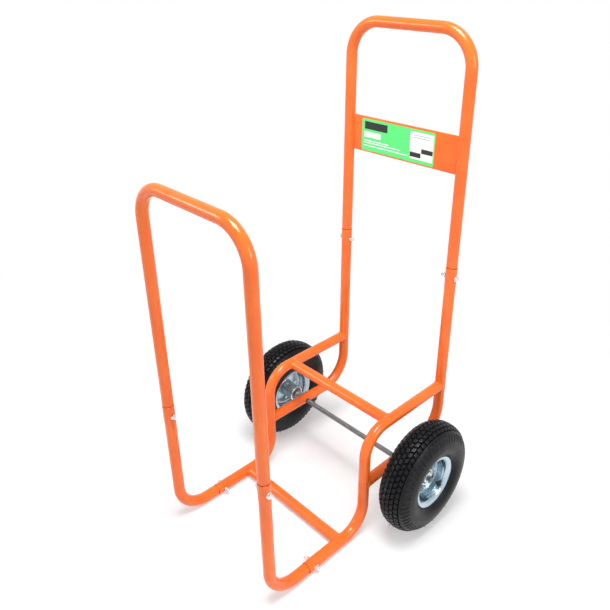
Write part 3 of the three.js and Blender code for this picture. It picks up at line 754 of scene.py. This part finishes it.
# %% [markdown]
# ## Axle
# The axle is a plain 12 mm rod through both uprights, dull grey, with rolled thread along its
# middle. A sleeve on each side keeps the wheel off the tube, a washer caps the hub, and a split pin
# through the rod keeps it all on. The pin is wire folded double, with an eye, and its tails are
# bent apart. The real thread has a 1.75 mm pitch, finer than the picture shows, so it is drawn at
# 3.5 mm.

# %% Axle steel
steel, tree, point = new_material("bare rolled steel")
drawn_pitch = 3.5  # mm
wave = add(
    tree,
    "TexWave",
    {"Vector": point, "Scale": 1000 / drawn_pitch / 20 * np.pi * 2, "Distortion": 0.0},
    wave_type="BANDS",
    bands_direction="X",
    wave_profile="SIN",
).outputs["Fac"]
along = add(tree, "SeparateXYZ", {"Vector": point}).outputs["X"]
from_middle = add(tree, "Math", {0: along}, operation="ABSOLUTE")
ends = {"Value": from_middle, "From Min": 0.138, "From Max": 0.141, "To Min": 1, "To Max": 0}
in_thread = add(tree, "MapRange", ends)
ridge = add(tree, "Math", {0: wave, 1: in_thread}, operation="MULTIPLY")
bump = add(tree, "Bump", {"Height": ridge, "Strength": 0.8, "Distance": 0.0009})
patches = {"Vector": point, "Scale": 1000 / 9, "Detail": 4, "Roughness": 0.6}
stain = add(tree, "TexNoise", patches)
stained = add(tree, "MapRange", {"Value": stain, "From Min": 0.33, "From Max": 0.7})
tones = {"Factor": stained, "A": linear("#6E7073"), "B": linear("#909396")}
dull = add(tree, "Mix", tones, data_type="RGBA")
worn_tops = {"Value": ridge, "From Min": 0.1, "From Max": 0.9, "To Max": 0.35}
crests = add(tree, "MapRange", worn_tops)
tones = {"Factor": crests, "A": dull, "B": linear("#B9BBBD")}
base = add(tree, "Mix", tones, data_type="RGBA")
worn = add(tree, "MapRange", {"Value": stained, "To Min": 0.34, "To Max": 0.52})
looks = {"Base Color": base, "Metallic": 1.0, "Roughness": worn, "Normal": bump}
bare = add(tree, "BsdfPrincipled", looks)
add(tree, "OutputMaterial", {"Surface": bare})

# %% Axle, sleeves, washers and pins
axle_end, pin_x = 254.1, 247.6
ease = [(0, 0), (0, 5.0), (0.3, 5.5), (1.0, 6.0)]
rod = [(-axle_end + x, r) for x, r in ease] + [(axle_end - x, r) for x, r in ease[::-1]]
rod_grid, rod_faces = open_rows(spun(rod, 40))
axle_centre = np.array([0, axle_y, axle_z])
mesh_piece("axle_rod", [(rod_grid + axle_centre, rod_faces)], steel, node="axle")


def sleeve(start, end, bore, radius, ease=0.4):
    """A ring with eased outer edges: a closed outline round its wall."""
    outline = [(start, bore), (start, radius - ease), (start + ease, radius)]
    outline += [(end - ease, radius), (end, radius - ease), (end, bore)]
    return looped(spun(outline))


def wire(line, radius, sideways, sides):
    """A skin of the given radius at each point of a line, closed by a pole at both ends."""
    grid = skin_on(line, np.stack([distances(line), radius], -1), sideways, sides)
    poles = line[:1, None].repeat(sides, 1), line[-1:, None].repeat(sides, 1)
    return open_rows(np.concatenate([poles[0], grid, poles[1]]))


def split_pin():
    """Wire round a line: down one leg, back up and round the eye, down the other leg. The eye is a
    circle from -62 to 242 degrees, seen along the axle, and the tails lean apart."""
    a = np.radians(np.linspace(-62, 242, 32))
    eye = np.stack([0 * a, 4.6 * np.cos(a), 12.2 + 4.6 * np.sin(a)], -1)
    legs = np.array([[0, 3.2, -11.4], [0, 1.0, -7.0], [0, 0.75, -5.0], [0, 0.75, 7.0]])
    line = np.concatenate([legs, eye, (legs * [1, -1, 1])[::-1]])
    return wire(line, np.full(len(line), 0.75), left, 10)


for s, hand in ((1, "left"), (-1, "right")):
    for name, node, grid in (
        ("axle_sleeve", "axle_spacer", sleeve(169.8, 185.7, 6.35, 9.5)),
        ("axle_cap_washer", "axle_washer", sleeve(243.3, 245.8, 6.35, 13.0, 0.5)),
    ):
        pieces = joined([grid], s, axle_centre)
        mesh_piece(f"{name}_{hand}", pieces, silver_zinc, node=f"{node}_{hand}")
    pieces = joined([split_pin()], s, axle_centre + [s * pin_x, 0, 0])
    name = f"split_pin_wire_{hand}"
    mesh_piece(name, pieces, silver_zinc, node=f"split_pin_{hand}", crease=70)

# %% [markdown]
# ## Wheel
# Everything on a wheel is turned about the axle, so it is worked out once round the X axis with its
# outer side towards +X, and turned half a turn for the other side. The rim is two pressed halves of
# 1.5 mm sheet, bolted back to back round the hub tube: a flat disc, a dish, a barrel for the tyre's
# bead, and a flare that ends in a rolled edge.

# %% Rims
wheel_centre = {s: np.array([s * 232.0, axle_y, axle_z]) for s in (1, -1)}
sheet = 1.5
disc_x, barrel, flare_start = 0.9, 49.75, 21.25


def arc(cx, cr, radius, start, end, steps):
    """Points (cx + radius cos a, cr + radius sin a) for a from start to end, in degrees."""
    a = np.radians(np.linspace(start, end, steps))
    return np.stack([cx + radius * np.cos(a), cr + radius * np.sin(a)], -1)


def offset(line, distance):
    """The line moved sideways: each point goes along the normal of the direction through it."""
    ahead = np.gradient(line, axis=0)
    ahead /= np.linalg.norm(ahead, axis=1, keepdims=True)
    return line + distance * np.stack([-ahead[:, 1], ahead[:, 0]], -1)


def evenly(line, spacing):
    """The same line with points about a spacing apart."""
    s = np.concatenate([[0], np.cumsum(np.hypot(*np.diff(line, axis=0).T))])
    at = np.linspace(0, s[-1], max(int(s[-1] / spacing), 2))
    return np.stack([np.interp(at, s, line[:, 0]), np.interp(at, s, line[:, 1])], -1)


rim_line = np.concatenate(
    [
        [(disc_x, 20.4), (disc_x, 30.0)],
        arc(disc_x + 6, barrel - 6, 6, 180, 90, 9),
        arc(flare_start, barrel + 10, 10, -90, 0, 14),
        [(31.25, 61.4), (31.3, 61.9)],
    ]
)
rim_line = evenly(rim_line, 1.0)
# A pressed ridge about 3 mm wide: just before the flare the barrel dips 1.2 mm to the axle
dip = 1.2 * np.exp(-(((rim_line[:, 0] - 19.5) / 1.3) ** 2)) * (rim_line[:, 1] < 52)
rim_line[:, 1] -= dip
rim_wall = np.concatenate([offset(rim_line, sheet / 2), offset(rim_line, -sheet / 2)[::-1]])


def rim_half(outer):
    """The rim's wall spun round the axle, as it is for the outer half or mirrored for the inner."""
    return looped(spun(rim_wall if outer else (rim_wall * [-1, 1])[::-1], 96))


def weld_ring(x, radius, bead=1.5, ripples=56):
    """A bead round the hub: a ring of section r = bead (1 + 0.14 cos(ripples a)) round the axle."""
    a = full_turn(6 * ripples)[:, None]
    b = full_turn(8)[None, :]
    r = bead * (1 + 0.14 * np.cos(ripples * a))
    return looped(round_x(x + r * np.cos(b), radius + r * np.sin(b), a))


# %% Hub and bearings
hub_outline = [(-46, 16.4), (-46, 19.4), (-45.4, 20), (10.4, 20), (11, 19.4), (11, 16.4)]
# A bearing's outline as depth behind its face and radius: inner ring, shield in a groove, outer ring
bearing_outline = np.array(
    [(0, 6.4), (0, 8.6), (0.5, 8.8), (0.5, 9.4), (0.9, 9.6), (0.9, 13.0), (0.5, 13.2), (0.2, 13.6)]
    + [(0, 13.8), (0, 15.6), (0.4, 16.0), (9.6, 16.0), (10, 15.6), (10, 6.4)]
)
print("bearing:", 2 * bearing_outline[:, 1].max(), "mm across")

# %% [markdown]
# ## Tyre
# The tyre is black rubber on a 4 inch rim, 260 mm across and 84 mm wide. Its tread is five rows of
# small blocks, staggered from row to row, with wavy grooves between them. Then come a plain band
# and a row of low lugs that wraps on to the sidewall. The mould presses the grooves in, so the
# tread is a depth taken off a smooth skin: each point knows its angle round the wheel and its
# distance across the tread from the middle, and the depth is a function of the two.

# %% Tyre section
crown = np.radians(np.linspace(0, 90, 400))
power = 2 / 2.3
quarter = np.stack([42 * np.cos(crown) ** power, 83 + 47 * np.sin(crown) ** power], -1)
quarter[-1] = 0, 130
t = np.linspace(0, 1, 40)[:-1, None]
flange_top, bulge, widest = np.array([30.2, 62.0]), np.array([42, 72.5]), np.array([42, 83])
low_wall = (1 - t) ** 2 * flange_top + 2 * t * (1 - t) * bulge + t**2 * widest
bead_seat = arc(flare_start, barrel + 10, 8.95, -90, 0, 8)
outer_half = np.concatenate([bead_seat, low_wall, quarter])[::-1]
from_crown = np.concatenate([[0], np.cumsum(np.hypot(*np.diff(outer_half, axis=0).T))])
# Rows lie closer together on the tread than on the sidewall
stretches = ((0, 33, 1.0), (33, 60, 1.5), (60, from_crown[-1], 2.5))
stations = np.concatenate([np.arange(*stretch) for stretch in stretches])
half_x, half_r = (np.interp(stations, from_crown, outer_half[:, i]) for i in (0, 1))
across = np.concatenate([-stations[:0:-1], stations])
skin_x = np.concatenate([-half_x[:0:-1], half_x])
skin_r = np.concatenate([half_r[:0:-1], half_r])
print("tyre skin:", len(across), "rows, out to", round(float(from_crown[-1]), 1), "mm from the crown")

# %% Tread
pitches, columns_a_pitch = 58, 11
pitch = 2 * np.pi * 130 / pitches
row_pitch, tread_depth, lug_depth = 10.5, 3.8, 1.7
tread_edge, lugs_from, lugs_to = 26.5, 35.5, 50.0


def ramp(value, low, high):
    """0 below low, 1 above high, and a straight line between."""
    return np.clip((value - low) / (high - low), 0, 1)


def blocks(place, length, gap, wall=1.3):
    """1 on blocks and 0 in the gaps between them, along one direction, with sloping walls."""
    from_middle = np.abs((place / length) % 1 - 0.5) * length
    return 1 - ramp(from_middle, (length - gap - wall) / 2, (length - gap + wall) / 2)


def tread(turn, w):
    """Depth taken off the skin at a turn, in pitches, and a distance w across from the middle.
    Rows of blocks are 10.5 mm apart, and their grooves sway by 0.7 mm with each pitch. Every
    second row is half a pitch further round, and the gaps between blocks lean as they go outwards."""
    w = np.abs(w)
    sway = 0.7 * np.abs(2 * ((turn + 0.25) % 1) - 1) - 0.35
    row = np.floor((w + sway) / row_pitch + 0.5)
    in_row = blocks(w + sway + row_pitch / 2, row_pitch, 1.6)
    leaning = turn + 0.5 * (row % 2) + 0.035 * (w - row * row_pitch) * np.where(row % 2, 1, -1)
    in_turn = blocks(leaning * pitch, pitch, np.where(row == 0, 2.0, 2.6))
    groove = tread_depth * (1 - in_row * in_turn) * (1 - ramp(w, tread_edge, tread_edge + 2))
    band = 1.6 * ramp(w, tread_edge, tread_edge + 2) * (1 - ramp(w, lugs_from - 2, lugs_from))
    between = 1 - blocks((turn + 0.25) * pitch, pitch, 5.5, 2.6)
    near_rim = lugs_to - 5 * (np.floor(turn + 0.25) % 2)
    lugs = lug_depth * between * ramp(w, lugs_from - 2, lugs_from) * (1 - ramp(w, near_rim, near_rim + 5))
    return groove + band + lugs


# %% Tyre surface
columns = pitches * columns_a_pitch
turn = np.arange(columns) / columns_a_pitch
depth = tread(turn[None, :], across[:, None])
slope_x, slope_r = np.gradient(skin_x), np.gradient(skin_r)
length = np.hypot(slope_x, slope_r)
normal_x, normal_r = -slope_r / length, slope_x / length
# Two thin lines moulded in the sidewall: a rib and, nearer the rim, the groove that shows it is seated
rib = 0.5 * np.exp(-(((np.abs(across) - 66) / 1.6) ** 2))
seat_line = 0.4 * np.exp(-(((np.abs(across) - 75) / 1.8) ** 2))
raised = (rib - seat_line)[:, None] - depth
tyre_x = skin_x[:, None] + normal_x[:, None] * raised
tyre_r = skin_r[:, None] + normal_r[:, None] * raised
inner_half = np.array([(12.25, 50.8), (22.2, 62.0), (36, 72), (37, 83), (34, 101), (24, 115), (0, 120)])
inner_x = np.concatenate([inner_half[:, 0], -inner_half[-2::-1, 0]])
inner_r = np.concatenate([inner_half[:, 1], inner_half[-2::-1, 1]])
round_wheel = 2 * np.pi * np.arange(columns) / columns
outside = round_x(tyre_x, tyre_r, round_wheel)
inside = round_x(inner_x[:, None], inner_r[:, None], round_wheel)
tyre_part = looped(np.concatenate([outside, inside]))
print("tyre:", tyre_part[1].shape[0], "faces,", round(float(depth.max()), 1), "mm of tread")

# %% Mould hairs


def hairs(count, seed):
    """Cones 0.45 mm in radius at the root and 0.25 near the tip, bent a little, which reach 3.5 to
    8 mm off the skin at angles and distances across that a seeded generator picks."""
    pick = np.random.default_rng(seed)
    a = pick.uniform(0, 2 * np.pi, count)
    row = pick.integers(len(across) // 6, len(across) - len(across) // 6, count)
    root = round_x(skin_x[row], skin_r[row], a)
    out = round_x(normal_x[row], normal_r[row], a)
    bend = pick.normal(size=(count, 3))
    bend -= (bend * out).sum(1, keepdims=True) * out
    bend /= np.linalg.norm(bend, axis=1, keepdims=True)
    long = pick.uniform(3.5, 8.0, count)[:, None]
    grids = []
    t = np.linspace(0, 1, 6)[:, None]
    for i in range(count):
        line = root[i] - 1.5 * out[i] + long[i] * (t * out[i] + 0.35 * t**2 * bend[i]) + 1.5 * t * out[i]
        radius = np.concatenate([[0.45], 0.45 - 0.25 * t[1:-1, 0], [0.05]])
        grids.append(wire(line, radius, np.cross(out[i], bend[i]), 6))
    return grids


hair_part = hairs(46, seed=7)
print("mould hairs:", len(hair_part))

# %% [markdown]
# ## Tyre rubber
# Carbon-black rubber is nearly black, a little cool, with a soft sheen: it leaves the mould with the
# mould's own satin face, and dust sits in the pores. The colour varies only a little, and the fine
# bump is the sandblasted mould, about half a millimetre across, drawn at 1 mm so that it shows.

# %% Rubber
rubber, tree, point = new_material("vulcanised tyre rubber")
clouds = {"Vector": point, "Scale": 1000 / 18, "Detail": 5, "Roughness": 0.6}
dust = add(tree, "TexNoise", clouds)
dusty = add(tree, "MapRange", {"Value": dust, "From Min": 0.35, "From Max": 0.75})
tones = {"Factor": dusty, "A": linear("#090A0D"), "B": linear("#111216")}
colour = add(tree, "Mix", tones, data_type="RGBA")
sheen = add(tree, "MapRange", {"Value": dusty, "To Min": 0.32, "To Max": 0.46})
pores = add(tree, "TexNoise", {"Vector": point, "Scale": 1000 / 1.0, "Detail": 2})
bump = add(tree, "Bump", {"Height": pores, "Strength": 0.3, "Distance": 0.0003})
looks = {"Base Color": colour, "Roughness": sheen, "Normal": bump}
looks |= {"IOR": 1.52, "Specular IOR Level": 0.22}
cured = add(tree, "BsdfPrincipled", looks)
add(tree, "OutputMaterial", {"Surface": cured})

# %% [markdown]
# ## Inner tube, valve and cap
# The tyre holds a butyl inner tube. All that shows of it is the valve: a rubber stem that comes
# through the barrel and leans outwards, with a ribbed plastic cap on its tip.

# %% Butyl and plastic
soft_blacks = []
for name, slot, dark, pale, speck_mm, smooth, rough in (
    ("butyl rubber", "butyl_rubber", "#151517", "#202023", 6, 0.45, 0.6),
    ("moulded black polyethylene", "black_plastic", "#0E0E10", "#17171A", 3, 0.32, 0.42),
):
    material, tree, point = new_material(name)
    soft_blacks.append(material)
    specks = {"Vector": point, "Scale": 1000 / speck_mm, "Detail": 3}
    mottle = add(tree, "TexNoise", specks)
    mottled = add(tree, "MapRange", {"Value": mottle, "From Min": 0.3, "From Max": 0.7})
    tones = {"Factor": mottled, "A": linear(dark), "B": linear(pale)}
    colour = add(tree, "Mix", tones, data_type="RGBA")
    dullness = add(tree, "MapRange", {"Value": mottled, "To Min": smooth, "To Max": rough})
    looks = {"Base Color": colour, "Roughness": dullness, "IOR": 1.51}
    moulded = add(tree, "BsdfPrincipled", looks)
    add(tree, "OutputMaterial", {"Surface": moulded})
butyl, plastic = soft_blacks

# %% Valve
valve_angle = -np.pi / 4
toward = np.array([0, np.cos(valve_angle), np.sin(valve_angle)])
stem_foot = 16.7 * left + 52.2 * toward
cap_middle = 25.25 * left + 40 * toward
stem_way = (cap_middle - stem_foot) / np.linalg.norm(cap_middle - stem_foot)
stem_line = np.array([stem_foot, cap_middle])
stem_outline = [(0, 0.0), (0, 5.2), (4.6, 5.1), (5.6, 4.6), (6.6, 3.8), (9.0, 3.4), (9.4, 3.0)]
stem_outline += [(13.0, 2.9), (13.4, 2.6), (13.4, 0.0)]
beside_stem = np.cross(toward, left)
stem = open_rows(skin_on(stem_line, stem_outline, beside_stem, 28))
tube_half = np.array([(8, 52.5), (20, 60), (33, 70), (35.5, 83), (32.5, 100), (23, 113), (0, 118.3)])
tube_ring = np.concatenate([tube_half, (tube_half * [-1, 1])[-2::-1]])
inner_tube_part = looped(spun(evenly(np.concatenate([tube_ring, tube_ring[:1]]), 4)[:-1], 72))

# %% Valve cap
# Distance along the stem from the cap's middle and radius; the last rows are the hole inside
cap_outline = np.array(
    [(-5.6, 3.3), (-5.6, 5.0), (-5.2, 5.2), (3.4, 5.2), (4.4, 5.0), (5.2, 4.2), (5.6, 2.6), (5.7, 0.0)]
    + [(4.1, 0.0), (4.1, 3.3)]
)
cap_sides = 72
ribs = np.cos(np.arange(cap_sides) * 2 * np.pi / 4) > 0
knurled = np.isin(np.arange(len(cap_outline)), (2, 3))
cap_line = np.array([cap_middle - 6 * stem_way, cap_middle + 6 * stem_way])
cap_grid = skin_on(cap_line, cap_outline + [6, 0], beside_stem, cap_sides)
cap_axis = (cap_middle + cap_outline[:, :1] * stem_way)[:, None]
cap_grid = cap_axis + (cap_grid - cap_axis) * (1 - 0.05 * knurled[:, None, None] * ribs[None, :, None])

# %% Rim bolts
head = [(-x, *rest) for x, *rest in hex_head(1.95, 4.8, 10)][::-1]
rim_nut = [(2.0, 3.0), *nut_flats(2.0, 7.4), (7.4, 3.0)]
rim_bolt = [
    open_rows(spun(head, flats=10)),
    threaded(-2.5, 9.95, 3.0, 1.0),
    looped(spun(rim_nut, flats=10)),
]
bolt_circle = 34.0  # radius

# %% Put the wheels together
for s, hand in ((1, "left"), (-1, "right")):
    body, centre = f"{hand}_wheel", wheel_centre[s]

    def wheel_piece(name, grids, material, node, crease=35):
        node = f"{node}_{hand}" if node else None
        mesh_piece(f"{name}_{hand}", joined(grids, s, centre), material, body, node, crease)

    wheel_piece("tread_tyre", [tyre_part], rubber, "tyre", 40)
    wheel_piece("mould_hairs", hair_part, rubber, None, 80)
    wheel_piece("tube_and_stem", [inner_tube_part, stem], butyl, "inner_tube")
    wheel_piece("cap", [looped(cap_grid)], plastic, "valve_cap", 30)
    wheel_piece("rim_out", [rim_half(True), weld_ring(2.2, 20.6)], blue_zinc, "rim_outer", 50)
    wheel_piece("rim_in", [rim_half(False), weld_ring(-2.2, 20.6)], blue_zinc, "rim_inner", 50)
    wheel_piece("hub_tube", [looped(spun(hub_outline, 64))], silver_zinc, "hub")
    for name, face_x, way in (("bearing_outer", 11.0, 1), ("bearing_inner", -46.0, -1)):
        outline = bearing_outline * [-way, 1] + [face_x, 0]
        outline = outline[::-1] if way > 0 else outline
        wheel_piece(f"{name}_race", [looped(spun(outline, 64))], steel, name, 30)
    for i, angle in enumerate(np.radians([0, 90, 180, 270])):
        place = bolt_circle * np.array([0, np.cos(angle), np.sin(angle)])
        pieces = joined([(grid + place, faces) for grid, faces in rim_bolt], s, centre)
        name = f"rim_bolt_{hand}_{i + 1}"
        mesh_piece(f"{name}_m6", pieces, silver_zinc, body, name)

# %% Finish
print("faces in all:", sum(made.values()))
